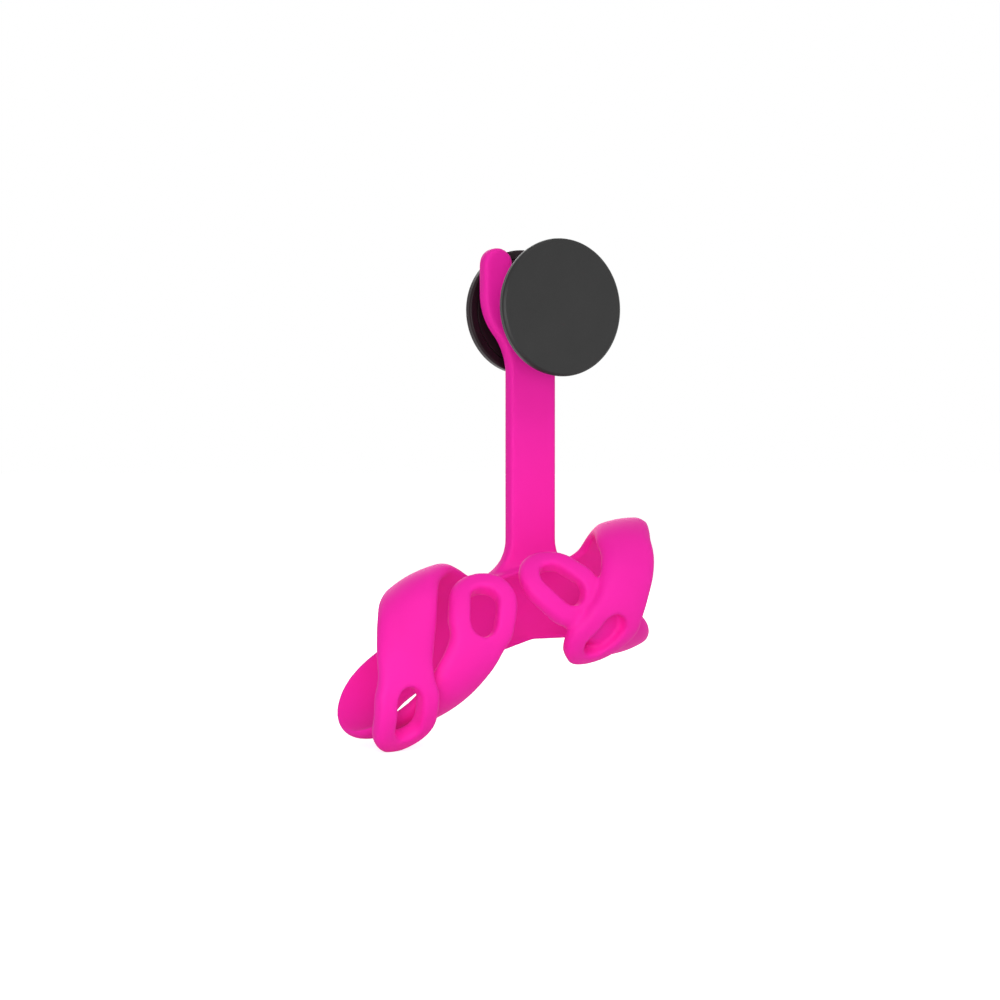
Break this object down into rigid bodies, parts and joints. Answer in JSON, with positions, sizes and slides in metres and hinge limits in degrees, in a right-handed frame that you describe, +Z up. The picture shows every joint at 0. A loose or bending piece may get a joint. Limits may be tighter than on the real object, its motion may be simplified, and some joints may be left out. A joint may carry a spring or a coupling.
{
  "type": "flexible phone mount",
  "caption": "Bendable silicone phone mount whose looped legs wrap a bar, with a flat stem and a fork that holds an expanding accordion grip stuck to the phone.",
  "frame": {"origin": "on the axis of the held bar, under the middle of the stem", "axes": "+Z up along the stem, +Y from the bar towards the phone, +X to the right as seen from the front; the bar's axis rises 15 degrees towards +X in the XZ plane"},
  "size_m": [0.1023, 0.0472, 0.1433],
  "materials": {
    "pink_silicone": "matte",
    "armature_steel": "drawn wire",
    "gel_adhesive": "tacky gel",
    "gloss_black": "gloss",
    "soft_black": "satin",
    "satin_black": "satin",
    "dark_metal": "anodised satin"
  },
  "bodies": {
    "mount": {"silicone_body": "pink_silicone", "hub_plate": "armature_steel", "leg_wire_upper_left": "armature_steel", "leg_wire_lower_left": "armature_steel", "leg_wire_upper_right": "armature_steel", "leg_wire_lower_right": "armature_steel", "stem_wire_left": "armature_steel", "stem_wire_right": "armature_steel"},
    "grip_base": {"adhesive_pad": "gel_adhesive", "base_plate": "gloss_black", "base_ring": "gloss_black", "accordion": "soft_black"},
    "grip_top": {"snap_plug": "satin_black", "top_plate": "satin_black", "top_cap": "dark_metal"}
  },
  "joints": [
    {"name": "grip_swivel", "type": "hinge", "parent": "mount", "child": "grip_base", "pos_m": [0, 0.017, 0.0855], "axis": [0, 1, 0], "continuous": true},
    {"name": "grip_collapse", "type": "slide", "parent": "grip_base", "child": "grip_top", "axis": [0, 1, 0], "range_m": [0, 0.012], "deforming": ["accordion"]}
  ]
}
